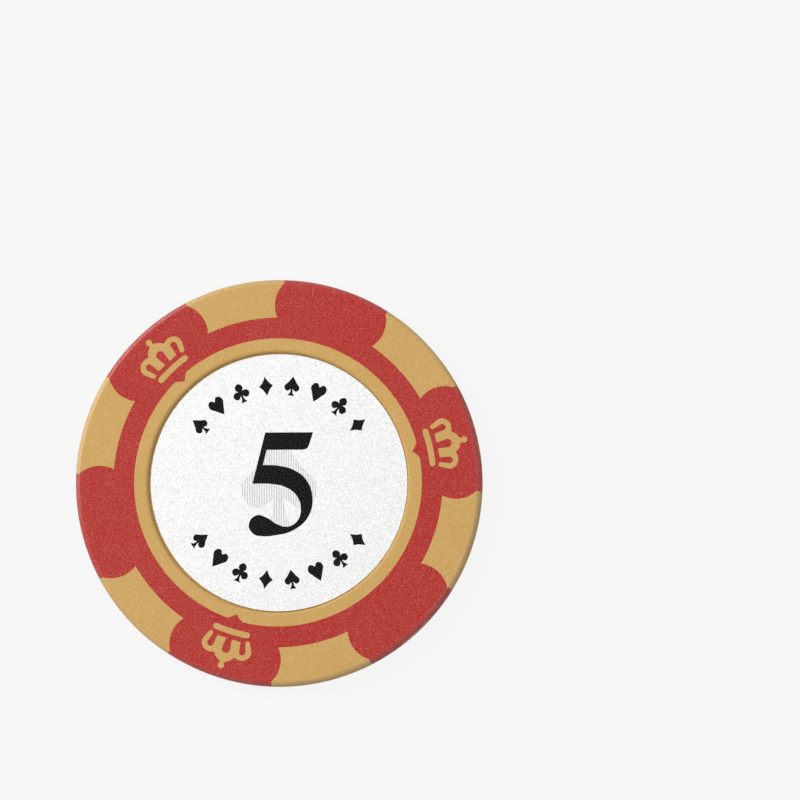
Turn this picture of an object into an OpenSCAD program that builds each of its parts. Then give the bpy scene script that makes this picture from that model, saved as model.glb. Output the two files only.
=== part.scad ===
// Weighted poker chip: a steel slug inside a two-colour moulded body, with a printed label in each face.
// The chip lies flat. Its axis is Z, the back face is on Z = 0 and the front face is up.
// The front label reads upright with +Y up and +X to the right.

/* [Chip] */
// Diameter over the rim
chip_d = 40; // [38:0.5:44]
// Thickness over both faces
chip_t = 3.3; // [3:0.1:4]
// Radius of the rounded edges between the faces and the rim wall
rim_round = 0.45; // [0.1:0.05:0.6]

/* [Label recess] */
// Width of the face between the recess and the rim
face_ring_w = 7.2; // [7:0.1:9]
// Depth of the recess below the face
recess_depth = 0.5; // [0.35:0.05:0.6]
// Radius of the recess's rounded lip
lip_round = 0.35; // [0.1:0.05:0.4]

/* [Labels] */
// Gap between a centred label's edge and the recess wall
label_gap = 0.12; // [0.05:0.01:0.3]
// Shares of the gap by which a label is stuck off centre, to the right and up
label_drift_shares = [0.75, -0.15]; // [-1:0.05:1]
// Thickness of the adhesive layer
adhesive_t = 0.05; // [0.02:0.01:0.08]
// Thickness of the printed label
label_t = 0.1; // [0.06:0.01:0.15]
// Thickness of the clear film over the print
film_t = 0.08; // [0.04:0.01:0.12]

/* [Weight] */
// Width of the plastic between the slug's edge and the red layer on the rim wall
slug_edge_cover = 2.7; // [1.5:0.1:5]
// Thickness of the plastic between the slug and the floor of a recess
slug_skin = 0.4; // [0.35:0.05:0.7]
// Number of keying holes, which the body's plastic fills
key_count = 6; // [3:1:8]
// Diameter of a keying hole
key_hole_d = 3; // [2:0.1:4]
// Distance from the slug's edge to the centres of the keying holes
key_edge = 5; // [3:0.1:6]
// Number of support holes under each label, left by the pins that hold the slug in the mould
support_count = 3; // [3:1:4]
// Diameter of a support hole
support_hole_d = 2; // [1.5:0.1:3]
// Distance from the centres of the keying holes in to those of the support holes
support_gap = 4; // [3:0.1:6]

/* [Rings on the face] */
// Width of the sand ring round the recess
sand_ring_w = 1.4; // [1:0.1:2]
// Width of the red ring that joins the spots
red_ring_w = 2.06; // [1.5:0.02:2.5]

/* [Spots] */
// Number of red spots round the rim
spot_count = 6; // [4:1:7]
// Width of a spot across its two rounded sides
spot_w = 11.24; // [9:0.02:12]
// Radius of a spot's rounded sides
spot_side_r = 3; // [2.5:0.1:3.5]
// Distance from the rim to the centres of the rounded sides
spot_side_inset = 2.55; // [2:0.05:3]
// Angle of the rim wall that a spot takes
spot_rim_deg = 31; // [26:0.5:33]
// Turn of the spots against the printed label
spot_turn = 12.7; // [0:0.1:60]
// Thickness of the red layer on each face
red_face_t = 0.5; // [0.3:0.05:0.6]
// Thickness of the red layer on the rim wall
red_rim_t = 0.8; // [0.5:0.05:1.2]

/* [Rim dashes] */
// Length of the sand dash in each spot, round the rim
dash_l = 3.55; // [2:0.05:6]
// Height of the dash
dash_h = 1; // [0.6:0.1:1.6]

/* [Crowns] */
// A crown stands on one spot in this many
crown_step = 2; // [1:1:3]
// Width of a crown over its side arches
crown_w = 5.04; // [3:0.02:6]
// Distance from the sand ring to the crown's feet
crown_foot_gap = 1.62; // [1.3:0.02:2]
// Distance from the crown's top to the rim
crown_rim_gap = 0.87; // [0.7:0.01:1.2]
// Distance from the sand ring to the bar under the crown
bar_gap = 0.87; // [0.5:0.01:0.95]
// Thickness of the bar
bar_t = 0.58; // [0.4:0.02:0.6]
// Length of the bar between the centres of its round ends
bar_l = 3.2; // [2:0.1:4]
// Width of the red point under the bar, where it leaves the red ring
point_w = 1.7; // [1:0.1:2.5]
// Depth of the red point into the sand ring
point_depth = 0.62; // [0.3:0.02:0.9]

/* [Hidden] */

$fn = 96;
// How far a cutting shape runs past the surface that it cuts
overrun = 0.5;
// Straight steps in each rounded edge of the body, and the angle of a step along a drawn arc
edge_steps = 6;
arc_step_deg = 20;
// Steps along each side of the red point, and the power that bends its sides
point_steps = 6;
point_power = 1.3;

chip_r = chip_d / 2;
mid_z = chip_t / 2;
recess_r = chip_r - face_ring_w;
recess_floor_z = chip_t - recess_depth;
label_r = recess_r - label_gap;
label_z = recess_floor_z + adhesive_t;
film_z = label_z + label_t;
sand_ring_r = recess_r + sand_ring_w;
red_ring_r = sand_ring_r + red_ring_w;
spot_side_x = chip_r - spot_side_inset;
spot_side_y = spot_w / 2 - spot_side_r;
spot_pitch = 360 / spot_count;
crown_foot_x = sand_ring_r + crown_foot_gap;
crown_h = chip_r - crown_rim_gap - crown_foot_x;
bar_r = sand_ring_r + bar_gap + bar_t / 2;
slug_r = chip_r - red_rim_t - slug_edge_cover;
slug_low_z = recess_depth + slug_skin;
slug_top_z = chip_t - slug_low_z;
slug_t = slug_top_z - slug_low_z;
key_circle_r = slug_r - key_edge;
support_circle_r = key_circle_r - support_gap;

// The right half of a crown, from its top to the middle of its foot, as a chain of arcs. Each row is an arc's
// centre across and up, its radius across and up, in shares of half the crown's width and of its height, and
// its two angles.
crown_arc_shares = [
    [0, 0.906, 0.123, 0.094, 90, -50],       // ball
    [0, 0.453, 0.437, 0.332, 74, 27],        // middle arch
    [0.615, 0.35, 0.385, 0.27, 120, -18],    // side arch
    [0.754, 0.07, 0.091, 0.07, -18, -198],   // end of the side arch
    [0.651, 0.35, 0.131, 0.103, -18, 190],   // opening under the side arch
    [0.448, 0.102, 0.024, 0.018, 0, -90],    // outer corner of the leg
    [0.143, 0.102, 0.024, 0.018, -90, -180], // inner corner of the leg
    [0, 0.396, 0.167, 0.127, -14, 90],       // opening under the middle arch
];

// Points of an arc with its own radius along each axis
function arc_points(centre, radius_x, radius_y, from, to, steps) = [
    for (i = [0 : steps])
        let (a = from + (to - from) * i / steps)
        [centre[0] + radius_x * cos(a), centre[1] + radius_y * sin(a)]
];

// Points of a round arc with a set number of steps
function round_edge(centre, radius, from, to) = arc_points(centre, radius, radius, from, to, edge_steps);

// Points of the crown's right half, across and up, in shares
function crown_half_shares() = [
    for (row = crown_arc_shares)
        each arc_points([row[0], row[1]], row[2], row[3], row[4], row[5],
                        ceil(abs(row[5] - row[4]) / arc_step_deg))
];

// A crown point in the chip's face: up is away from the axis, along X
function crown_place(share, side) = [crown_foot_x + share[1] * crown_h, side * share[0] * crown_w / 2];

// The whole crown's outline: one side from top to foot, then the other side back up
function crown_outline_points() =
    let (half = crown_half_shares(), last = len(half) - 1)
    concat([for (p = half) crown_place(p, -1)],
           [for (i = [last - 1 : -1 : 1]) crown_place(half[i], 1)]);

// The bar under a crown, bent to follow the rings
function bar_outline_points() =
    let (turn = asin(bar_l / 2 / bar_r), steps = ceil(2 * turn), end_r = bar_t / 2, end_steps = 2 * edge_steps)
    concat(
        arc_points([0, 0], bar_r + end_r, bar_r + end_r, -turn, turn, steps),
        [for (i = [1 : end_steps - 1])
            let (a = turn + 180 * i / end_steps)
            [bar_r * cos(turn) + end_r * cos(a), bar_r * sin(turn) + end_r * sin(a)]],
        arc_points([0, 0], bar_r - end_r, bar_r - end_r, turn, -turn, steps),
        [for (i = [1 : end_steps - 1])
            let (a = 180 - turn + 180 * i / end_steps)
            [bar_r * cos(turn) + end_r * cos(a), -bar_r * sin(turn) + end_r * sin(a)]]
    );

// The red point: an ogee that starts inside the red ring and ends in a tip
function point_outline_points() = concat(
    [for (i = [-point_steps : point_steps])
        let (s = i / point_steps)
        [sand_ring_r - point_depth * pow(1 - abs(s), point_power), s * point_w / 2]],
    [[sand_ring_r + red_ring_w / 2, point_w / 2], [sand_ring_r + red_ring_w / 2, -point_w / 2]]
);

// Half section of the moulded body, from the front recess round the rim to the back recess
function body_section_points() = concat(
    [[0, recess_floor_z], [recess_r, recess_floor_z]],
    round_edge([recess_r + lip_round, chip_t - lip_round], lip_round, 180, 90),
    round_edge([chip_r - rim_round, chip_t - rim_round], rim_round, 90, 0),
    round_edge([chip_r - rim_round, rim_round], rim_round, 0, -90),
    round_edge([recess_r + lip_round, lip_round], lip_round, -90, -180),
    [[recess_r, recess_depth], [0, recess_depth]]
);

// Puts its children, drawn for the front face, on the back face
module on_back() {
    translate([0, 0, chip_t]) mirror([0, 0, 1]) children();
}

module on_both_faces() {
    children();
    on_back() children();
}

// Turns its children, which lie in the front recess, over into the back recess
module turned_over() {
    translate([0, 0, chip_t]) rotate([0, 180, 0]) children();
}

// Turns its children, drawn along X, to every spot, or to one spot in step
module at_spots(step = 1) {
    for (i = [0 : step : spot_count - 1]) rotate(spot_turn + i * spot_pitch) children();
}

// Sets its children round the chip's axis on a circle
module round_axis(count, circle_r) {
    for (i = [0 : count - 1]) rotate(i * 360 / count) translate([circle_r, 0, 0]) children();
}

// The whole moulded body, before its two colours and its slug are parted
module body_blank() {
    rotate_extrude() polygon(body_section_points());
}

// A spot's outline on the face: two rounded sides and the strip between them
module spot_outline() {
    for (side = [-1, 1]) translate([spot_side_x, side * spot_side_y]) circle(spot_side_r);
    translate([sand_ring_r, -spot_side_y]) square([chip_r + overrun - sand_ring_r, 2 * spot_side_y]);
}

// The sand inlay on a spot: a crown over its bar
module crown_inlay() {
    polygon(crown_outline_points());
    polygon(bar_outline_points());
}

// The red area of a face
module red_face_outline() {
    difference() {
        union() {
            difference() {
                union() {
                    circle(red_ring_r);
                    at_spots() spot_outline();
                }
                circle(sand_ring_r);
            }
            at_spots(crown_step) polygon(point_outline_points());
        }
        at_spots(crown_step) crown_inlay();
    }
}

// The red layer that joins a spot's two faces over the rim wall, with a window for the dash
module rim_band() {
    band_r = chip_r - red_rim_t;
    difference() {
        rotate(-spot_rim_deg / 2) rotate_extrude(angle = spot_rim_deg)
            translate([band_r, -overrun]) square([red_rim_t + overrun, chip_t + 2 * overrun]);
        translate([spot_side_x, -dash_l / 2, mid_z - dash_h / 2])
            cube([spot_side_inset + 2 * overrun, dash_l, dash_h]);
    }
}

// Everything that the second shot fills, drawn past the body's surface
module red_shot() {
    on_both_faces() translate([0, 0, chip_t - red_face_t])
        linear_extrude(red_face_t + overrun) red_face_outline();
    at_spots() rim_band();
}

// The stamped steel disc
module slug_disc() {
    translate([0, 0, slug_low_z]) difference() {
        cylinder(h = slug_t, r = slug_r);
        round_axis(key_count, key_circle_r)
            translate([0, 0, -overrun]) cylinder(h = slug_t + 2 * overrun, d = key_hole_d);
    }
}

// The holes from the front recess down to the slug
module support_holes() {
    round_axis(support_count, support_circle_r)
        translate([0, 0, slug_top_z]) cylinder(h = chip_t + overrun - slug_top_z, d = support_hole_d);
}

// A round layer of the label, lying in the front recess
module label_layer(z, thickness) {
    translate([label_drift_shares[0] * label_gap, label_drift_shares[1] * label_gap, z])
        cylinder(h = thickness, r = label_r);
}

module weight_slug() {
    color("silver") slug_disc();
}

module sand_core() {
    color([0.81, 0.66, 0.41]) difference() {
        body_blank();
        red_shot();
        slug_disc();
        on_both_faces() support_holes();
    }
}

module red_cage() {
    color([0.71, 0.26, 0.25]) intersection() {
        body_blank();
        red_shot();
    }
}

module front_adhesive() {
    color([0.93, 0.92, 0.86]) label_layer(recess_floor_z, adhesive_t);
}

module front_label() {
    color([0.95, 0.95, 0.95]) label_layer(label_z, label_t);
}

module front_film() {
    color([0.95, 0.95, 0.97, 0.4]) label_layer(film_z, film_t);
}

module back_adhesive() {
    turned_over() front_adhesive();
}

module back_label() {
    turned_over() front_label();
}

module back_film() {
    turned_over() front_film();
}

weight_slug();
sand_core();
red_cage();
front_adhesive();
front_label();
front_film();
back_adhesive();
back_label();
back_film();
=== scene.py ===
"""Poker chip with two moulded shots, a weight inside and a printed label on each face.

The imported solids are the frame. This add-on gives them their finish, which is grained plastic,
silvery label film and printed ink, and sets them in a plain studio.
"""

import math

import bmesh
import bpy
from bpy.props import FloatProperty, FloatVectorProperty, IntProperty, PointerProperty
from mathutils import Matrix, Vector


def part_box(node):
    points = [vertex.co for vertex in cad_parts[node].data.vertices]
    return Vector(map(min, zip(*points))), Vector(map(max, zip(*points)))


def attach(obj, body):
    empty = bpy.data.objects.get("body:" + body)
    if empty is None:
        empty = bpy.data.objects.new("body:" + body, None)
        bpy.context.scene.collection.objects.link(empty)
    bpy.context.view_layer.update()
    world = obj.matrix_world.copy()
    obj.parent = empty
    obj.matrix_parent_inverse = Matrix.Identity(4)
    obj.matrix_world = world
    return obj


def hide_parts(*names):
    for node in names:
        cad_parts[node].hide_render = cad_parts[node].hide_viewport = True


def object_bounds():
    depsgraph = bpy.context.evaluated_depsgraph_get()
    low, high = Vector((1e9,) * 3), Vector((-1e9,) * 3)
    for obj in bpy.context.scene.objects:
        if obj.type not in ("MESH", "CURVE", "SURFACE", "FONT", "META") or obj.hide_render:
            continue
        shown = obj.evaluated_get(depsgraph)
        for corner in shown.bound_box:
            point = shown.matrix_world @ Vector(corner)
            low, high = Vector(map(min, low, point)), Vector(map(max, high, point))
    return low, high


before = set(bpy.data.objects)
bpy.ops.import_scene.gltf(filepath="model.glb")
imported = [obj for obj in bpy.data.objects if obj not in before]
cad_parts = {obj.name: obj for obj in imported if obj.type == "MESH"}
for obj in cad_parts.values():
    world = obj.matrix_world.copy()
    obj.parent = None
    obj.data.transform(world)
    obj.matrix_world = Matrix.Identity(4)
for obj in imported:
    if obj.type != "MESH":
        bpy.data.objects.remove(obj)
cad_low, cad_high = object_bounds()

bl_info = {
    "name": "Poker chip",
    "version": (1, 0, 0),
    "blender": (4, 5, 0),
    "location": "View3D > Sidebar > Chip",
    "description": "Builds the finish of a two-shot poker chip round its packed solids",
    "category": "Object",
}

MM = 0.001
BODY = "root"
FACES = ("front", "back")
UP = Vector((0, 1, 0))
UPRIGHT = Vector((0, 0, 1))

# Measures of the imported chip.
film_low, film_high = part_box("front_film")
FILM_R = (film_high.x - film_low.x) / 2
FILM_FOOT = film_low.z
FILM_TOP = film_high.z
LABEL_CENTRE = (film_low + film_high) / 2
CHIP_R = (cad_high.x - cad_low.x) / 2
MIDDLE = (cad_low + cad_high) / 2
HALF_T = cad_high.z - MIDDLE.z

# Fineness of the meshes.
MERGE_GAP = 0.0005 * MM
FLAT_ANGLE = math.radians(0.5)
SHOT_SHARP_ANGLE = math.radians(30)
FILM_SHARP_ANGLE = math.radians(40)
FILM_SEGMENTS = 192
FILM_EDGE_SEGMENTS = 3
CURVE_STEPS = 10

# Parts of a pattern's range over which a tone or a roughness changes.
WHOLE_SPAN = (0.0, 1.0)
SHARP_SPAN = (0.40, 0.60)
SOFT_SPAN = (0.30, 0.70)
RUB_SPAN = (0.45, 0.70)
STAIN_SPAN = (0.35, 0.70)
DOT_SPAN = (0.18, 0.30)
BUBBLE_SPAN = (0.20, 0.35)

# Detail of a noise, from smooth blots to fine fibre.
BLOT_DETAIL = 0.5
CLOUD_DETAIL = 1.0
PATCH_DETAIL = 2.0
FIBRE_DETAIL = 3.0

# Roughness at the two ends of a span.
SATIN_ROUGHNESS = (0.30, 0.44)
FILM_ROUGHNESS = (0.34, 0.48)
INK_ROUGHNESS = (0.35, 0.55)
PAPER_ROUGHNESS = (0.80, 0.95)
GLUE_ROUGHNESS = (0.25, 0.40)
STEEL_ROUGHNESS = (0.28, 0.50)

# Moulded plastic. A point nearer to the full radius than the margin counts as on the rim wall.
WALL_MARGIN = 0.02 * MM
WALL_SCUFF = 0.42
EDGE_POLISH = 0.12
EDGE_GLOSS_ROUGHNESS = 0.25
EDGE_GLOSS_IOR = 1.62
PLASTIC_SHINE = 0.2
CLOUD_SHARE = 0.15
# Pale specks are painted glints: lighter colour where the grain would catch the light.
PAINTED_GLINT_SHARE = 0.65
DARK_SPECK_SHARE = 0.45
DARK_SPECK_TONE = 0.6
RUB_SHARE = 0.6

# Label film and ink. The shuffle makes a second random number out of a flake's first.
# The film's darker and lighter grain is partly painted sparkle of its flakes.
FILM_DARKER = 0.11
FILM_LIGHTER = 0.052
FILM_SHINE = 0.5
GLINT_ROUGHNESS = 0.1
SHUFFLE = 13.7
FAR_FLAKES_FROM = 0.8
FAR_LEAN = 7
HALF = (0.5, 0.5, 0.5)
DOT_RANDOMNESS = 0.35
INK_SHINE = 0.06

# Stretch of the patterns that run one way.
FIBRE_STRETCH = (1, 0.2, 1)
ROLLING_STRETCH = (0.02, 1, 1)

# Studio.
FLOOR_HALF_WIDTH = 5
FLOOR_GAP = 0.01 * MM
SENSOR_MM = 36
CLIP_NEAR = 0.01
CLIP_FAR = 10


class ChipPlastic(bpy.types.PropertyGroup):
    """Colours and grain of the two moulded shots."""

    sand: FloatVectorProperty(
        name="Sand", description="Colour of the first shot", subtype="COLOR",
        default=(0.588, 0.361, 0.117), min=0, max=1)
    red: FloatVectorProperty(
        name="Red", description="Colour of the second shot", subtype="COLOR",
        default=(0.442, 0.030, 0.014), min=0, max=1)
    grain: FloatProperty(
        name="Grain", description="Width of one grain of the moulded texture", unit="LENGTH",
        default=0.08 * MM, precision=6)
    grain_share: FloatProperty(
        name="Grain share", description="Share of white that a grain adds or takes away",
        default=0.045, min=0, max=0.2)
    grain_height: FloatProperty(
        name="Grain height", description="Height of the moulded texture", unit="LENGTH",
        default=0.008 * MM, precision=6)
    cloud: FloatProperty(
        name="Cloud", description="Width of the broad patches of darker tone", unit="LENGTH",
        default=5 * MM, precision=6)
    # The specks are dark filler specks and pale painted glints.
    speck_pitch: FloatProperty(
        name="Speck pitch", description="Distance between filler specks", unit="LENGTH",
        default=0.26 * MM, precision=6)
    speck_r: FloatProperty(
        name="Speck radius", description="Radius of a speck as a share of the pitch",
        default=0.22, min=0, max=0.5)
    # Share of the specks that are painted glints.
    painted_glint_specks: FloatProperty(
        name="Pale specks", description="Share of the specks that are pale",
        default=0.40, min=0, max=1)
    dark_specks: FloatProperty(
        name="Dark specks", description="Share of the specks that are dark",
        default=0.14, min=0, max=1)
    # White that paints the glints of the pale specks, and lightens the real wear of rubbed places.
    glint_and_wear_lift: FloatProperty(
        name="Pale lift", description="White that a pale speck or a rubbed place adds",
        default=0.15, min=0, max=1)
    wear_w: FloatProperty(
        name="Wear width", description="Width of the rubbed band on the edges", unit="LENGTH",
        default=0.5 * MM, precision=6)
    rub_patch: FloatProperty(
        name="Rubbed patch", description="Width of one rubbed patch on the edges", unit="LENGTH",
        default=0.3 * MM, precision=6)
    matt_w: FloatProperty(
        name="Matt width", description="Width of the scuffed band at the rim wall", unit="LENGTH",
        default=0.15 * MM, precision=6)


class ChipPrint(bpy.types.PropertyGroup):
    """Colours and sizes of the labels and what is printed on them."""

    white: FloatVectorProperty(
        name="White", description="Colour of the label's face", subtype="COLOR",
        default=(0.843, 0.843, 0.843), min=0, max=1)
    metal: FloatProperty(
        name="Metal", description="Share of metal in the film", default=0.45, min=0, max=1)
    # The film's grain, which partly paints the sparkle of its flakes as darker and lighter tone.
    grain_and_painted_sparkle: FloatProperty(
        name="Sparkle", description="Width of one blot of the film's grain", unit="LENGTH",
        default=0.08 * MM, precision=6)
    flake: FloatProperty(
        name="Flake", description="Width of one silvery flake of the film", unit="LENGTH",
        default=0.07 * MM, precision=6)
    flake_tilt: FloatProperty(
        name="Flake tilt", description="Slope by which most flakes may lean to each side",
        default=0.056, min=0, max=1)
    glint: FloatProperty(
        name="Glint", description="Width of one clear flake that glints", unit="LENGTH",
        default=0.15 * MM, precision=6)
    glint_share: FloatProperty(
        name="Glint share", description="Share of the clear flakes that are glossy",
        default=0.6, min=0, max=1)
    glint_tilt: FloatProperty(
        name="Glint tilt", description="Slope by which a clear flake may lean to each side",
        default=1.1, min=0)
    film_edge: FloatProperty(
        name="Film edge", description="Rounding of the film's cut edge", unit="LENGTH",
        default=0.03 * MM, precision=6)
    ink: FloatVectorProperty(
        name="Ink", description="Colour of the numeral and the pips", subtype="COLOR",
        default=(0.0023, 0.0023, 0.0023), min=0, max=1)
    ink_t: FloatProperty(
        name="Ink thickness", description="Thickness of the black ink", unit="LENGTH",
        default=0.010 * MM, precision=6)
    # The paler dots are painted glints of the film's relief.
    dot_glint_lift: FloatProperty(
        name="Dot lift", description="How many times paler the dots in the black ink are",
        default=17.0, min=0)
    pale_ink: FloatVectorProperty(
        name="Pale ink", description="Colour of the hatching behind the numeral", subtype="COLOR",
        default=(0.54, 0.54, 0.54), min=0, max=1)
    pale_ink_t: FloatProperty(
        name="Pale ink thickness", description="Thickness of the pale ink", unit="LENGTH",
        default=0.005 * MM, precision=6)
    # The paler dots in the pale ink are painted glints of the film's relief.
    pale_dot_glint_lift: FloatProperty(
        name="Pale dot lift", description="How many times paler the dots in the pale ink are",
        default=1.15, min=0)
    dot_pitch: FloatProperty(
        name="Dot pitch", description="Distance between the dots in the ink", unit="LENGTH",
        default=0.255 * MM, precision=6)
    dot_turn: FloatProperty(
        name="Dot turn", description="Angle of the rows of dots", subtype="ANGLE",
        default=math.radians(32))
    ink_grain: FloatProperty(
        name="Ink grain", description="Width of one blot of the ink's relief", unit="LENGTH",
        default=0.09 * MM, precision=6)
    ink_relief: FloatProperty(
        name="Ink relief", description="Height of the ink's relief", unit="LENGTH",
        default=0.012 * MM, precision=6)
    pip_h: FloatProperty(
        name="Pip height", description="Height of one pip", unit="LENGTH",
        default=1.9 * MM, precision=6)
    pip_r: FloatProperty(
        name="Pip circle", description="Radius of the circle that the pips stand on", unit="LENGTH",
        default=9.6 * MM, precision=6)
    pip_span: FloatProperty(
        name="Pip span", description="Angle from the first pip of a row to its last",
        subtype="ANGLE", default=math.radians(108))
    pip_count: IntProperty(
        name="Pips", description="Number of pips in each row", default=8, min=4)
    hatch_h: FloatProperty(
        name="Hatched spade", description="Height of the hatched spade", unit="LENGTH",
        default=9.6 * MM, precision=6)
    hatch_pitch: FloatProperty(
        name="Hatch pitch", description="Distance between hatching lines", unit="LENGTH",
        default=0.24 * MM, precision=6)
    hatch_w: FloatProperty(
        name="Hatch line", description="Width of one hatching line", unit="LENGTH",
        default=0.11 * MM, precision=6)


class ChipInside(bpy.types.PropertyGroup):
    """Colours and grain of the layers under the film and of the weight."""

    paper_dark: FloatVectorProperty(
        name="Paper between fibres", description="Darker colour of the label's paper",
        subtype="COLOR", default=(0.72, 0.71, 0.68), min=0, max=1)
    paper_light: FloatVectorProperty(
        name="Paper fibre", description="Lighter colour of the label's paper", subtype="COLOR",
        default=(0.88, 0.87, 0.84), min=0, max=1)
    fibre: FloatProperty(
        name="Fibre", description="Width of one paper fibre", unit="LENGTH",
        default=0.08 * MM, precision=6)
    fibre_height: FloatProperty(
        name="Fibre height", description="Height of the paper's texture", unit="LENGTH",
        default=0.005 * MM, precision=6)
    bubble_colour: FloatVectorProperty(
        name="Bubble", description="Colour of the adhesive in a bubble", subtype="COLOR",
        default=(0.78, 0.74, 0.60), min=0, max=1)
    glue_colour: FloatVectorProperty(
        name="Adhesive", description="Colour of the adhesive round the bubbles", subtype="COLOR",
        default=(0.62, 0.57, 0.42), min=0, max=1)
    bubble_pitch: FloatProperty(
        name="Bubble pitch", description="Distance between bubbles", unit="LENGTH",
        default=0.6 * MM, precision=6)
    bubble_depth: FloatProperty(
        name="Bubble depth", description="Depth of a bubble", unit="LENGTH",
        default=0.01 * MM, precision=6)
    steel: FloatVectorProperty(
        name="Steel", description="Colour of clean steel", subtype="COLOR",
        default=(0.56, 0.56, 0.57), min=0, max=1)
    stained_steel: FloatVectorProperty(
        name="Stained steel", description="Colour of stained steel", subtype="COLOR",
        default=(0.44, 0.42, 0.40), min=0, max=1)
    rolling_line: FloatProperty(
        name="Rolling line", description="Width of one rolling line", unit="LENGTH",
        default=0.12 * MM, precision=6)
    rolling_height: FloatProperty(
        name="Rolling height", description="Height of the rolling lines", unit="LENGTH",
        default=0.004 * MM, precision=6)
    stain: FloatProperty(
        name="Stain", description="Width of one stain", unit="LENGTH",
        default=4 * MM, precision=6)


class ChipStudio(bpy.types.PropertyGroup):
    """Camera, lamps, sky and floor."""

    lens: FloatProperty(
        name="Lens", description="Focal length of the camera in millimetres", default=450)
    distance: FloatProperty(
        name="Distance", description="From the chip's face to the camera", unit="LENGTH",
        default=983.4 * MM)
    view_from: FloatVectorProperty(
        name="View from", description="Direction from the chip to the camera", subtype="DIRECTION",
        default=(0.0851, -0.0687, 0.9940))
    aim: FloatVectorProperty(
        name="Aim", description="Shift of the aim to the picture's right and up", size=2,
        unit="LENGTH", default=(12.01 * MM, 8.10 * MM))
    key: FloatProperty(
        name="Key lamp", description="Power of the high lamp at the upper left", unit="POWER",
        default=1.0)
    key_size: FloatVectorProperty(
        name="Key lamp size", description="Width and height of the high lamp", size=2,
        unit="LENGTH", default=(0.30, 0.30))
    key_place: FloatVectorProperty(
        name="Key lamp place", description="Where the high lamp hangs", subtype="TRANSLATION",
        unit="LENGTH", default=(-0.24, 0.15, 0.52))
    edge: FloatProperty(
        name="Edge lamp", description="Power of the low lamp at the upper left", unit="POWER",
        default=1.2)
    edge_size: FloatVectorProperty(
        name="Edge lamp size", description="Width and height of the low lamp", size=2,
        unit="LENGTH", default=(0.68, 0.17))
    edge_place: FloatVectorProperty(
        name="Edge lamp place", description="Where the low lamp hangs", subtype="TRANSLATION",
        unit="LENGTH", default=(-0.36, 0.235, 0.22))
    fill: FloatProperty(
        name="Fill lamp", description="Power of the lamp overhead", unit="POWER", default=0.35)
    fill_size: FloatVectorProperty(
        name="Fill lamp size", description="Width and height of the lamp overhead", size=2,
        unit="LENGTH", default=(0.15, 0.15))
    fill_place: FloatVectorProperty(
        name="Fill lamp place", description="Where the lamp overhead hangs", subtype="TRANSLATION",
        unit="LENGTH", default=(0.22, -0.08, 0.62))
    overhead: FloatProperty(
        name="Overhead", description="Strength of the light from straight above", default=0.62)
    horizon: FloatProperty(
        name="Horizon", description="Strength of the light from the sides", default=0.36)
    floor: FloatVectorProperty(
        name="Floor", description="Colour of the floor", subtype="COLOR",
        default=(0.42, 0.42, 0.42), min=0, max=1)
    floor_white: FloatProperty(
        name="Floor white", description="Share of plain white in the floor that is seen",
        default=0.88, min=0, max=1)


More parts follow.
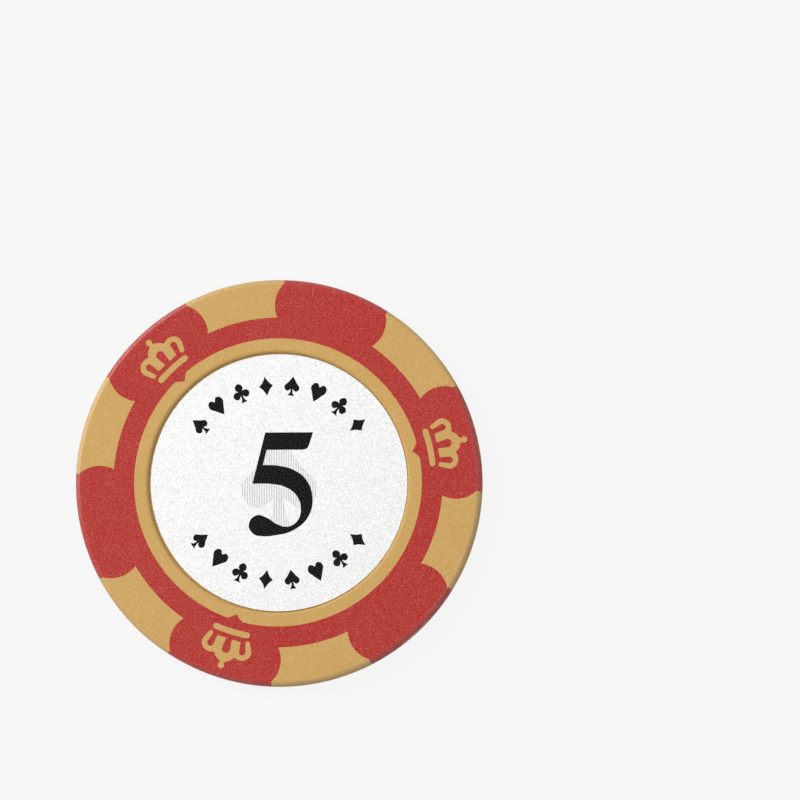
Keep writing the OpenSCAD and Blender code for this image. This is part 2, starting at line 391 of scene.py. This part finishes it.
class Finish:
    """A material, with short calls that add its nodes and join them."""

    def __init__(self, name):
        self.material = bpy.data.materials.new(name)
        self.material.use_nodes = True
        self.tree = self.material.node_tree
        self.tree.nodes.clear()
        self.shader = self.add("ShaderNodeBsdfPrincipled")
        output = self.add("ShaderNodeOutputMaterial")
        self.tree.links.new(self.shader.outputs[0], output.inputs["Surface"])
        self.place = self.add("ShaderNodeTexCoord").outputs["Object"]

    def add(self, kind, settings=None, **sockets):
        """One new node; a socket takes a value or the output that feeds it."""
        made = self.tree.nodes.new(kind)
        for name, value in (settings or {}).items():
            setattr(made, name, value)
        self.feed(made, **sockets)
        return made

    def feed(self, node, **sockets):
        """Sets or joins a node's sockets.

        An underscore stands for a space in a socket's name, and i0, i1 and so on for its number.
        """
        for name, value in sockets.items():
            numbered = name[0] == "i" and name[1:].isdigit()
            key = int(name[1:]) if numbered else name.replace("_", " ")
            if isinstance(value, bpy.types.NodeSocket):
                self.tree.links.new(value, node.inputs[key])
            else:
                node.inputs[key].default_value = value

    def stretched(self, **sockets):
        """The place on the piece, turned or scaled by a Mapping node."""
        return self.add("ShaderNodeMapping", Vector=self.place, **sockets).outputs[0]

    def noise(self, size, detail=PATCH_DETAIL, place=None):
        """Noise whose blots are about this wide, from 0 to 1."""
        made = self.add(
            "ShaderNodeTexNoise", Vector=place or self.place, Scale=1 / size, Detail=detail)
        return made.outputs[0]

    def cells(self, size, randomness=1.0, place=None, flat=False):
        """Cells of this size: their outputs Distance, from a cell's middle, and Color, its own."""
        made = self.add(
            "ShaderNodeTexVoronoi", {"voronoi_dimensions": "2D" if flat else "3D"},
            Vector=place or self.place, Scale=1 / size, Randomness=randomness)
        return made.outputs

    def draw(self, chance, part):
        """One of the three random numbers that a cell's colour holds: Red, Green or Blue."""
        return self.add("ShaderNodeSeparateColor", Color=chance).outputs[part]

    def ramp(self, value, span, ends=WHOLE_SPAN):
        """A value carried from one span to another and held at its ends."""
        low, high = span
        at_low, at_high = ends
        made = self.add(
            "ShaderNodeMapRange", i0=value, i1=low, i2=high, i3=at_low, i4=at_high)
        return made.outputs[0]

    def number(self, operation, first, second=0.0):
        """Two numbers put through a Math node."""
        return self.add("ShaderNodeMath", {"operation": operation}, i0=first, i1=second).outputs[0]

    def vector(self, operation, first, **sockets):
        """A vector put through a Vector Math node."""
        made = self.add("ShaderNodeVectorMath", {"operation": operation}, i0=first, **sockets)
        return made.outputs["Value" if operation == "LENGTH" else "Vector"]

    def blend(self, share, first, second):
        """A colour between two others."""
        made = self.add("ShaderNodeMix", {"data_type": "RGBA"}, i0=share, i6=first, i7=second)
        return made.outputs[2]

    def relief(self, height, rise):
        """The surface normal of a fine relief that rises this far."""
        return self.add("ShaderNodeBump", Height=height, Distance=rise, Strength=1.0).outputs[0]

    def tipped(self, slope):
        """The surface normal, tipped by a slope."""
        level = self.add("ShaderNodeNewGeometry").outputs["Normal"]
        return self.vector("NORMALIZE", self.vector("ADD", level, i1=slope))

    def clear_flakes(self, chance, tilt):
        """The surface normal of flat flakes that lean by chance, up to a slope to each side."""
        lean = self.vector("SUBTRACT", chance, i1=HALF)
        return self.tipped(self.vector("MULTIPLY", lean, i1=(2 * tilt, 2 * tilt, 0)))

    def silvery_flakes(self, chance, tilt):
        """The surface normal of small flakes that lean by chance, one in five of them further."""
        second_draw = self.number("FRACT", self.number("MULTIPLY", self.draw(chance, "Red"), SHUFFLE))
        reach = self.ramp(second_draw, (FAR_FLAKES_FROM, 1.0), (2 * tilt, 2 * FAR_LEAN * tilt))
        lean = self.vector("SUBTRACT", chance, i1=HALF)
        return self.tipped(self.vector("SCALE", lean, Scale=reach))


def scaled(colour, share=1.0):
    """A colour made lighter or darker, with full opacity."""
    return tuple(min(1.0, part * share) for part in colour) + (1.0,)


def lifted(colour, white):
    """A colour with white added, or taken away where the amount is negative."""
    return tuple(min(1.0, max(0.0, part + white)) for part in colour) + (1.0,)


def moulded_plastic(name, colour, plastic):
    """Plastic with a fine eroded texture, filler specks, painted glints, a rubbed rim and glossy
    edges.
    """
    finish = Finish(name)
    grain = finish.noise(plastic.grain, detail=BLOT_DETAIL)
    clouds = finish.noise(plastic.cloud, detail=CLOUD_DETAIL)
    specks = finish.cells(plastic.speck_pitch)
    speck = finish.number("LESS_THAN", specks["Distance"], plastic.speck_r)
    draw = finish.draw(specks["Color"], "Red")
    # The pale specks are painted glints; the dark specks are filler.
    is_painted_glint = finish.number("LESS_THAN", draw, plastic.painted_glint_specks)
    is_dark = finish.number("GREATER_THAN", draw, 1 - plastic.dark_specks)
    painted_glint_speck = finish.number("MULTIPLY", speck, is_painted_glint)
    dark_speck = finish.number("MULTIPLY", speck, is_dark)

    dark = lifted(colour, -plastic.grain_share)
    bright = lifted(colour, plastic.grain_share)
    pale = lifted(colour, plastic.glint_and_wear_lift)
    tone = finish.blend(finish.ramp(grain, SHARP_SPAN), dark, bright)
    cloudy = finish.blend(finish.ramp(clouds, SOFT_SPAN, (0.0, CLOUD_SHARE)), tone, dark)
    # Painted glints: pale specks that lighten the colour.
    with_painted_glints = finish.blend(finish.number("MULTIPLY", painted_glint_speck, PAINTED_GLINT_SHARE), cloudy, pale)
    flecked = finish.blend(
        finish.number("MULTIPLY", dark_speck, DARK_SPECK_SHARE), with_painted_glints, scaled(colour, DARK_SPECK_TONE))

    offset = finish.vector("SUBTRACT", finish.place, i1=tuple(MIDDLE))
    radius = finish.vector("LENGTH", finish.vector("MULTIPLY", offset, i1=(1, 1, 0)))
    height = finish.vector("LENGTH", finish.vector("MULTIPLY", offset, i1=(0, 0, 1)))
    rim = finish.ramp(radius, (CHIP_R - plastic.wear_w, CHIP_R))
    corner = finish.number("MULTIPLY", rim, finish.ramp(height, (HALF_T - plastic.wear_w, HALF_T)))
    patches = finish.ramp(finish.noise(plastic.rub_patch), RUB_SPAN)
    rubbed = finish.number("MULTIPLY", corner, patches)
    worn = finish.blend(finish.number("MULTIPLY", rubbed, RUB_SHARE), flecked, pale)

    edge_span = (CHIP_R - plastic.wear_w, CHIP_R - plastic.matt_w)
    wall_span = (CHIP_R - plastic.matt_w, CHIP_R - WALL_MARGIN)
    satin = finish.ramp(grain, SOFT_SPAN, SATIN_ROUGHNESS)
    scuffed = finish.number("ADD", satin, finish.ramp(radius, wall_span, (0.0, WALL_SCUFF)))
    polish = finish.ramp(radius, edge_span, (0.0, EDGE_POLISH))
    off_wall = finish.ramp(radius, wall_span, (1.0, 0.0))
    relief = finish.relief(grain, plastic.grain_height)
    finish.feed(
        finish.shader, Base_Color=worn, Roughness=finish.number("SUBTRACT", scuffed, polish),
        Normal=relief, Specular_IOR_Level=PLASTIC_SHINE,
        Coat_Weight=finish.number("MULTIPLY", finish.ramp(radius, edge_span), off_wall),
        Coat_Normal=relief, Coat_Roughness=EDGE_GLOSS_ROUGHNESS, Coat_IOR=EDGE_GLOSS_IOR)
    return finish.material


def label_film(name, print_sizes):
    """White film full of small silvery flakes, under wider clear flakes that glint; its grain is
    partly painted sparkle.
    """
    finish = Finish(name)
    white = print_sizes.white
    # Grain that is partly painted sparkle of the flakes.
    grain_and_painted_sparkle = finish.ramp(finish.noise(print_sizes.grain_and_painted_sparkle, detail=BLOT_DETAIL), SHARP_SPAN)
    chance = finish.cells(print_sizes.flake)["Color"]
    glint_chance = finish.cells(print_sizes.glint)["Color"]
    glint_draw = finish.draw(glint_chance, "Blue")
    finish.feed(
        finish.shader,
        Base_Color=finish.blend(grain_and_painted_sparkle, lifted(white, -FILM_DARKER), lifted(white, FILM_LIGHTER)),
        Roughness=finish.ramp(finish.draw(chance, "Blue"), WHOLE_SPAN, FILM_ROUGHNESS),
        Normal=finish.silvery_flakes(chance, print_sizes.flake_tilt),
        Metallic=print_sizes.metal, Specular_IOR_Level=FILM_SHINE,
        Coat_Weight=finish.number("LESS_THAN", glint_draw, print_sizes.glint_share),
        Coat_Normal=finish.clear_flakes(glint_chance, print_sizes.glint_tilt),
        Coat_Roughness=GLINT_ROUGHNESS)
    return finish.material


def printed_ink(name, print_sizes, colour, glint_lift, metal=0.0):
    """Ink with rows of paler dots, painted glints of the film's fine relief, and a share of its
    metal.
    """
    finish = Finish(name)
    rows = finish.stretched(Rotation=(0, 0, print_sizes.dot_turn))
    dots = finish.cells(print_sizes.dot_pitch, randomness=DOT_RANDOMNESS, place=rows, flat=True)
    # Painted glints: the dots are lighter colour where the film's relief would catch the light.
    share = finish.ramp(dots["Distance"], DOT_SPAN, (1.0, 0.0))
    grain = finish.noise(print_sizes.ink_grain)
    finish.feed(
        finish.shader, Base_Color=finish.blend(share, scaled(colour), scaled(colour, glint_lift)),
        Roughness=finish.ramp(grain, SOFT_SPAN, INK_ROUGHNESS),
        Normal=finish.relief(grain, print_sizes.ink_relief),
        Metallic=metal, Specular_IOR_Level=INK_SHINE)
    return finish.material


def label_paper(name, inside):
    """Uncoated paper with a faint fibre."""
    finish = Finish(name)
    along = finish.stretched(Scale=FIBRE_STRETCH)
    fibre = finish.noise(inside.fibre, detail=FIBRE_DETAIL, place=along)
    finish.feed(
        finish.shader,
        Base_Color=finish.blend(fibre, scaled(inside.paper_dark), scaled(inside.paper_light)),
        Roughness=finish.ramp(fibre, WHOLE_SPAN, PAPER_ROUGHNESS),
        Normal=finish.relief(fibre, inside.fibre_height))
    return finish.material


def clear_adhesive(name, inside):
    """A thin layer of adhesive with fine bubbles."""
    finish = Finish(name)
    ring = finish.ramp(finish.cells(inside.bubble_pitch)["Distance"], BUBBLE_SPAN)
    finish.feed(
        finish.shader,
        Base_Color=finish.blend(ring, scaled(inside.bubble_colour), scaled(inside.glue_colour)),
        Roughness=finish.ramp(ring, WHOLE_SPAN, GLUE_ROUGHNESS),
        Normal=finish.relief(ring, inside.bubble_depth))
    return finish.material


def stamped_steel(name, inside):
    """Rolled sheet steel with the rolling lines along X."""
    finish = Finish(name)
    along = finish.stretched(Scale=ROLLING_STRETCH)
    lines = finish.noise(inside.rolling_line, detail=FIBRE_DETAIL, place=along)
    stain = finish.ramp(finish.noise(inside.stain), STAIN_SPAN)
    finish.feed(
        finish.shader,
        Base_Color=finish.blend(stain, scaled(inside.steel), scaled(inside.stained_steel)),
        Roughness=finish.ramp(lines, SOFT_SPAN, STEEL_ROUGHNESS),
        Normal=finish.relief(lines, inside.rolling_height), Metallic=1.0)
    return finish.material


def piece(name, mesh, material):
    """A finished piece of the chip, riding on its one body."""
    made = bpy.data.objects.new(name, mesh)
    bpy.context.scene.collection.objects.link(made)
    mesh.materials.append(material)
    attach(made, BODY)
    return made


def mesh_of(bm, name):
    """The finished mesh of a bmesh, which is freed."""
    mesh = bpy.data.meshes.new(name)
    bm.to_mesh(mesh)
    bm.free()
    return mesh


def smooth_to(mesh, angle):
    """Shades a mesh smooth, apart from its edges that are sharper than an angle."""
    mesh.shade_smooth()
    mesh.set_sharp_from_angle(angle=angle)


def keep_flats(made):
    """Keeps a piece's large faces flat in the shading next to its rounded edges."""
    normals = made.modifiers.new("Flat faces", "WEIGHTED_NORMAL")
    normals.keep_sharp = True


def whole_copy(node, name):
    """A copy of a node's mesh, with its triangles joined and its flat faces made whole."""
    bm = bmesh.new()
    bm.from_mesh(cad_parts[node].data)
    bmesh.ops.remove_doubles(bm, verts=bm.verts[:], dist=MERGE_GAP)
    bmesh.ops.dissolve_limit(bm, angle_limit=FLAT_ANGLE, verts=bm.verts[:], edges=bm.edges[:])
    return mesh_of(bm, name)


def turned_over():
    """The half turn about Y that brings the front face's print to the back face."""
    middle = Vector((0, 0, (cad_low.z + cad_high.z) / 2))
    half_turn = Matrix.Rotation(math.pi, 4, "Y")
    return Matrix.Translation(middle) @ half_turn @ Matrix.Translation(-middle)


def on_face(mesh, face, level):
    """Sets a flat mesh on the front label's axis at a level, and turns it over for the back."""
    mesh.transform(Matrix.Translation((LABEL_CENTRE.x, LABEL_CENTRE.y, level)))
    if face == "back":
        mesh.transform(turned_over())
    return mesh


class CHIP_OT_moulded_shots(bpy.types.Operator):
    """Make the sand and red shots with smooth edges and grained plastic"""

    bl_idname = "chip.moulded_shots"
    bl_label = "Moulded shots"

    def execute(self, context):
        plastic = context.scene.chip_plastic
        shots = (
            ("sand_shot", "sand_core", "sand_plastic", plastic.sand),
            ("red_shot", "red_cage", "red_plastic", plastic.red),
        )
        for name, node, slot, colour in shots:
            mesh = whole_copy(node, name)
            smooth_to(mesh, SHOT_SHARP_ANGLE)
            shot = piece(name, mesh, moulded_plastic(slot, colour, plastic))
            keep_flats(shot)
            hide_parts(node)
        return {"FINISHED"}


class CHIP_OT_inner_layers(bpy.types.Operator):
    """Give the weight, the adhesive and the label paper their finish"""

    bl_idname = "chip.inner_layers"
    bl_label = "Inner layers"

    def execute(self, context):
        inside = context.scene.chip_inside
        finishes = {
            "weight_slug": stamped_steel("stamped_steel", inside),
            "adhesive": clear_adhesive("clear_adhesive", inside),
            "label": label_paper("label_paper", inside),
        }
        for name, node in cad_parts.items():
            for ending, material in finishes.items():
                if name.endswith(ending):
                    node.data.materials.clear()
                    node.data.materials.append(material)
        return {"FINISHED"}


class CHIP_OT_label_films(bpy.types.Operator):
    """Make the film on each face, with its cut edge rounded"""

    bl_idname = "chip.label_films"
    bl_label = "Label films"

    def execute(self, context):
        sizes = context.scene.chip_print
        material = label_film("label_film", sizes)
        for face in FACES:
            name = face + "_film_sheet"
            bm = bmesh.new()
            bmesh.ops.create_circle(bm, cap_ends=True, radius=FILM_R, segments=FILM_SEGMENTS)
            sheet = bmesh.ops.extrude_face_region(bm, geom=bm.faces[:])["geom"]
            top = [part for part in sheet if isinstance(part, bmesh.types.BMVert)]
            bmesh.ops.translate(bm, verts=top, vec=(0, 0, FILM_TOP - FILM_FOOT))
            edge = [e for e in bm.edges if all(v in top for v in e.verts)]
            bmesh.ops.bevel(
                bm, geom=edge, offset=sizes.film_edge, offset_type="OFFSET", affect="EDGES",
                segments=FILM_EDGE_SEGMENTS, profile=0.5, material=-1, clamp_overlap=True)
            bmesh.ops.recalc_face_normals(bm, faces=bm.faces[:])
            mesh = on_face(mesh_of(bm, name), face, FILM_FOOT)
            smooth_to(mesh, FILM_SHARP_ANGLE)
            film = piece(name, mesh, material)
            keep_flats(film)
            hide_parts(face + "_film")
        return {"FINISHED"}


CORNER = "VECTOR"
SMOOTH = "AUTO"

# Outline of the numeral in millimetres, clockwise from the upper left corner.
FIGURE_FIVE = (
    (-1.36, 4.95, CORNER), (3.36, 4.95, CORNER), (2.98, 3.74, CORNER), (2.74, 3.36, SMOOTH),
    (2.33, 3.24, CORNER), (-1.21, 3.24, CORNER), (-1.59, 1.75, CORNER), (0.03, 1.66, SMOOTH),
    (1.58, 1.18, SMOOTH), (2.74, 0.20, SMOOTH), (3.31, -1.60, SMOOTH), (2.94, -3.28, SMOOTH),
    (1.56, -4.62, SMOOTH), (-0.64, -5.23, SMOOTH), (-1.70, -5.27, SMOOTH), (-2.52, -5.04, SMOOTH),
    (-2.97, -4.12, SMOOTH), (-2.24, -3.22, SMOOTH), (-1.24, -3.43, SMOOTH), (-0.24, -4.06, SMOOTH),
    (0.72, -4.34, SMOOTH), (1.72, -3.90, SMOOTH), (2.16, -2.70, SMOOTH), (1.80, -1.38, SMOOTH),
    (0.80, -0.52, SMOOTH), (-0.64, -0.14, SMOOTH), (-2.62, -0.09, CORNER),
)

# Right halves of the card pips, from the top down, in halves of a pip's height.
HALF_SPADE = (
    (0.0, 1.0, CORNER), (0.44, 0.36, SMOOTH), (0.78, -0.16, SMOOTH), (0.46, -0.52, SMOOTH),
    (0.09, -0.30, CORNER), (0.16, -0.72, SMOOTH), (0.36, -1.0, CORNER),
)
HALF_HEART = (
    (0.0, 0.62, CORNER), (0.42, 0.95, SMOOTH), (0.82, 0.48, SMOOTH), (0.50, -0.22, SMOOTH),
    (0.0, -1.0, CORNER),
)
HALF_CLUB = (
    (0.0, 1.0, SMOOTH), (0.41, 0.58, SMOOTH), (0.22, 0.20, CORNER), (0.56, 0.22, SMOOTH),
    (0.86, -0.16, SMOOTH), (0.48, -0.56, SMOOTH), (0.09, -0.26, CORNER), (0.16, -0.72, SMOOTH),
    (0.36, -1.0, CORNER),
)
HALF_DIAMOND = (
    (0.0, 1.0, CORNER), (0.32, 0.42, SMOOTH), (0.72, 0.0, CORNER), (0.32, -0.42, SMOOTH),
    (0.0, -1.0, CORNER),
)


def both_halves(half):
    """A symmetric outline from its right half, which starts at the top."""
    left = [(-x, y, kind) for x, y, kind in reversed(half) if x > 0]
    return list(half) + left


def flat_figure(name, outline, scale, thickness):
    """A flat solid with a curved outline, standing on level zero."""
    curve = bpy.data.curves.new(name, "CURVE")
    curve.dimensions = "2D"
    curve.fill_mode = "BOTH"
    curve.resolution_u = CURVE_STEPS
    curve.extrude = thickness / 2
    spline = curve.splines.new("BEZIER")
    spline.bezier_points.add(len(outline) - 1)
    spline.use_cyclic_u = True
    for point, (x, y, kind) in zip(spline.bezier_points, outline):
        point.co = (x * scale, y * scale, 0)
        point.handle_left_type = kind
        point.handle_right_type = kind
    drawn = bpy.data.objects.new(name, curve)
    bpy.context.scene.collection.objects.link(drawn)
    bpy.context.view_layer.update()
    shown = drawn.evaluated_get(bpy.context.evaluated_depsgraph_get())
    mesh = bpy.data.meshes.new_from_object(shown)
    bpy.data.objects.remove(drawn)
    bpy.data.curves.remove(curve)
    bm = bmesh.new()
    bm.from_mesh(mesh)
    bpy.data.meshes.remove(mesh)
    bmesh.ops.remove_doubles(bm, verts=bm.verts[:], dist=thickness / 10)
    bmesh.ops.recalc_face_normals(bm, faces=bm.faces[:])
    bmesh.ops.translate(bm, verts=bm.verts[:], vec=(0, 0, thickness / 2))
    return mesh_of(bm, name)


class CHIP_OT_printed_numerals(bpy.types.Operator):
    """Print the value of the chip in the middle of each label"""

    bl_idname = "chip.printed_numerals"
    bl_label = "Printed numerals"

    def execute(self, context):
        sizes = context.scene.chip_print
        material = printed_ink("black_ink", sizes, sizes.ink, sizes.dot_glint_lift)
        for face in FACES:
            name = face + "_numeral"
            mesh = flat_figure(name, FIGURE_FIVE, MM, sizes.ink_t)
            piece(name, on_face(mesh, face, FILM_TOP), material)
        return {"FINISHED"}


class CHIP_OT_printed_pips(bpy.types.Operator):
    """Print a row of card pips above the numeral and one below it"""

    bl_idname = "chip.printed_pips"
    bl_label = "Printed pips"

    def execute(self, context):
        sizes = context.scene.chip_print
        material = printed_ink("pip_ink", sizes, sizes.ink, sizes.dot_glint_lift)
        suits = []
        for half in (HALF_SPADE, HALF_HEART, HALF_CLUB, HALF_DIAMOND):
            suits.append(flat_figure("suit", both_halves(half), sizes.pip_h / 2, sizes.ink_t))
        step = sizes.pip_span / (sizes.pip_count - 1)
        for face in FACES:
            name = face + "_pips"
            bm = bmesh.new()
            for row in (1, -1):
                outward = Matrix.Translation((0, row * sizes.pip_r, 0))
                for number in range(sizes.pip_count):
                    tilt = row * (sizes.pip_span / 2 - number * step)
                    spot = Matrix.Rotation(tilt, 4, "Z") @ outward
                    before = len(bm.verts)
                    bm.from_mesh(suits[number % len(suits)])
                    bm.verts.ensure_lookup_table()
                    bmesh.ops.transform(bm, matrix=spot, verts=bm.verts[before:])
            piece(name, on_face(mesh_of(bm, name), face, FILM_TOP), material)
        for suit in suits:
            bpy.data.meshes.remove(suit)
        return {"FINISHED"}


def cut_strip(mesh, name, left, right):
    """The part of a flat solid between two upright planes, with its cuts closed."""
    strip = bmesh.new()
    strip.from_mesh(mesh)
    for edge, outward in ((left, -1), (right, 1)):
        cut = bmesh.ops.bisect_plane(
            strip, geom=strip.verts[:] + strip.edges[:] + strip.faces[:],
            plane_co=(edge, 0, 0), plane_no=(outward, 0, 0), clear_outer=True)["geom_cut"]
        rim = [part for part in cut if isinstance(part, bmesh.types.BMEdge)]
        if rim:
            bmesh.ops.holes_fill(strip, edges=rim)
    return mesh_of(strip, name)


class CHIP_OT_hatched_spades(bpy.types.Operator):
    """Print a spade of fine upright lines behind each numeral"""

    bl_idname = "chip.hatched_spades"
    bl_label = "Hatched spades"

    def execute(self, context):
        sizes = context.scene.chip_print
        material = printed_ink(
            "pale_ink", sizes, sizes.pale_ink, sizes.pale_dot_glint_lift, metal=sizes.metal)
        reach = sizes.hatch_h / 2
        lines = int(reach / sizes.hatch_pitch)
        for face in FACES:
            name = face + "_hatched_spade"
            spade = flat_figure(name, both_halves(HALF_SPADE), reach, sizes.pale_ink_t)
            bm = bmesh.new()
            for number in range(-lines, lines + 1):
                left = number * sizes.hatch_pitch - sizes.hatch_w / 2
                line = cut_strip(spade, name, left, left + sizes.hatch_w)
                bm.from_mesh(line)
                bpy.data.meshes.remove(line)
            bpy.data.meshes.remove(spade)
            piece(name, on_face(mesh_of(bm, name), face, FILM_TOP), material)
        return {"FINISHED"}


def facing(back, up):
    """The turn that points an object's Z along back and its Y towards up."""
    side = up.cross(back).normalized()
    return Matrix((side, back.cross(side), back)).transposed().to_4x4()


def seen_rays(tree):
    """1 for rays that show a surface itself: from the camera, a mirror or a glass."""
    path = tree.nodes.new("ShaderNodeLightPath")
    seen = path.outputs["Is Camera Ray"]
    for ray in ("Is Glossy Ray", "Is Transmission Ray"):
        either = tree.nodes.new("ShaderNodeMath")
        either.operation = "MAXIMUM"
        tree.links.new(seen, either.inputs[0])
        tree.links.new(path.outputs[ray], either.inputs[1])
        seen = either.outputs[0]
    return seen


def floor_paint(colour, white):
    """Pale paint that keeps a soft shadow and reads as white behind the chip."""
    material = bpy.data.materials.new("floor_paint")
    material.use_nodes = True
    tree = material.node_tree
    tree.nodes.clear()
    output = tree.nodes.new("ShaderNodeOutputMaterial")
    paint = tree.nodes.new("ShaderNodeBsdfDiffuse")
    paint.inputs["Color"].default_value = scaled(colour)
    glow = tree.nodes.new("ShaderNodeEmission")
    share = tree.nodes.new("ShaderNodeMath")
    share.operation = "MULTIPLY"
    tree.links.new(seen_rays(tree), share.inputs[0])
    share.inputs[1].default_value = white
    mix = tree.nodes.new("ShaderNodeMixShader")
    tree.links.new(share.outputs[0], mix.inputs[0])
    tree.links.new(paint.outputs[0], mix.inputs[1])
    tree.links.new(glow.outputs[0], mix.inputs[2])
    tree.links.new(mix.outputs[0], output.inputs["Surface"])
    return material


def pale_floor(scene, studio):
    """A wide floor just under the chip."""
    bm = bmesh.new()
    bmesh.ops.create_grid(bm, x_segments=1, y_segments=1, size=FLOOR_HALF_WIDTH)
    bmesh.ops.translate(bm, verts=bm.verts[:], vec=(0, 0, cad_low.z - FLOOR_GAP))
    floor = bpy.data.objects.new("floor", mesh_of(bm, "floor"))
    floor.data.materials.append(floor_paint(studio.floor, studio.floor_white))
    scene.collection.objects.link(floor)


def white_sky(scene, studio):
    """White light all round that is stronger from above."""
    world = bpy.data.worlds.new("studio")
    world.use_nodes = True
    tree = world.node_tree
    tree.nodes.clear()
    output = tree.nodes.new("ShaderNodeOutputWorld")
    sky = tree.nodes.new("ShaderNodeBackground")
    direction = tree.nodes.new("ShaderNodeTexCoord")
    height = tree.nodes.new("ShaderNodeSeparateXYZ")
    tree.links.new(direction.outputs["Generated"], height.inputs[0])
    strength = tree.nodes.new("ShaderNodeMapRange")
    tree.links.new(height.outputs["Z"], strength.inputs["Value"])
    strength.inputs["To Min"].default_value = studio.horizon
    strength.inputs["To Max"].default_value = studio.overhead
    tree.links.new(strength.outputs[0], sky.inputs["Strength"])
    sky.inputs["Color"].default_value = (1, 1, 1, 1)
    tree.links.new(sky.outputs[0], output.inputs["Surface"])
    scene.world = world


def soft_lamps(scene, studio, target):
    """The oval lamps, which all shine on the target."""
    lamps = (
        ("key_lamp", studio.key, studio.key_size, Vector(studio.key_place)),
        ("edge_lamp", studio.edge, studio.edge_size, Vector(studio.edge_place)),
        ("fill_lamp", studio.fill, studio.fill_size, Vector(studio.fill_place)),
    )
    for name, power, size, place in lamps:
        light = bpy.data.lights.new(name, "AREA")
        light.shape = "ELLIPSE"
        light.energy = power
        light.size, light.size_y = size
        lamp = bpy.data.objects.new(name, light)
        scene.collection.objects.link(lamp)
        back = (place - target).normalized()
        lamp.matrix_world = Matrix.Translation(place) @ facing(back, UPRIGHT)


def photo_camera(scene, studio, target):
    """The photograph's camera, with the chip at the lower left of its picture."""
    lens = bpy.data.cameras.new("camera")
    lens.sensor_width = SENSOR_MM
    lens.lens = studio.lens
    lens.clip_start = CLIP_NEAR
    lens.clip_end = CLIP_FAR
    camera = bpy.data.objects.new("camera", lens)
    scene.collection.objects.link(camera)
    back = Vector(studio.view_from).normalized()
    place = target + back * studio.distance
    aim = target + facing(back, UP).to_3x3() @ Vector((*studio.aim, 0))
    camera.matrix_world = Matrix.Translation(place) @ facing((place - aim).normalized(), UP)
    scene.camera = camera


class CHIP_OT_studio(bpy.types.Operator):
    """Set the chip on a pale floor with soft lamps and the photograph's camera"""

    bl_idname = "chip.studio"
    bl_label = "Studio"

    def execute(self, context):
        scene = context.scene
        studio = scene.chip_studio
        face_centre = Vector((0, 0, cad_high.z))
        pale_floor(scene, studio)
        white_sky(scene, studio)
        soft_lamps(scene, studio, face_centre)
        photo_camera(scene, studio, face_centre)
        scene.view_settings.view_transform = "Standard"
        return {"FINISHED"}


class CHIP_PT_sidebar(bpy.types.Panel):
    """The chip's pieces and their sizes"""

    bl_idname = "CHIP_PT_sidebar"
    bl_label = "Poker chip"
    bl_space_type = "VIEW_3D"
    bl_region_type = "UI"
    bl_category = "Chip"

    def draw(self, context):
        for operator in OPERATORS:
            self.layout.operator(operator.bl_idname)
        for group in SETTINGS:
            box = self.layout.box()
            settings = getattr(context.scene, group)
            for name in settings.__annotations__:
                box.prop(settings, name)


SETTINGS = {
    "chip_plastic": ChipPlastic,
    "chip_print": ChipPrint,
    "chip_inside": ChipInside,
    "chip_studio": ChipStudio,
}
OPERATORS = (
    CHIP_OT_moulded_shots,
    CHIP_OT_inner_layers,
    CHIP_OT_label_films,
    CHIP_OT_hatched_spades,
    CHIP_OT_printed_numerals,
    CHIP_OT_printed_pips,
    CHIP_OT_studio,
)


def register():
    for group in SETTINGS.values():
        bpy.utils.register_class(group)
    for name, group in SETTINGS.items():
        setattr(bpy.types.Scene, name, PointerProperty(type=group))
    for operator in OPERATORS:
        bpy.utils.register_class(operator)
    bpy.utils.register_class(CHIP_PT_sidebar)


def unregister():
    bpy.utils.unregister_class(CHIP_PT_sidebar)
    for operator in reversed(OPERATORS):
        bpy.utils.unregister_class(operator)
    for name in SETTINGS:
        delattr(bpy.types.Scene, name)
    for group in SETTINGS.values():
        bpy.utils.unregister_class(group)


def main():
    register()
    bpy.ops.chip.moulded_shots()
    bpy.ops.chip.inner_layers()
    bpy.ops.chip.label_films()
    bpy.ops.chip.hatched_spades()
    bpy.ops.chip.printed_numerals()
    bpy.ops.chip.printed_pips()
    bpy.ops.chip.studio()


if __name__ == "__main__":
    main()
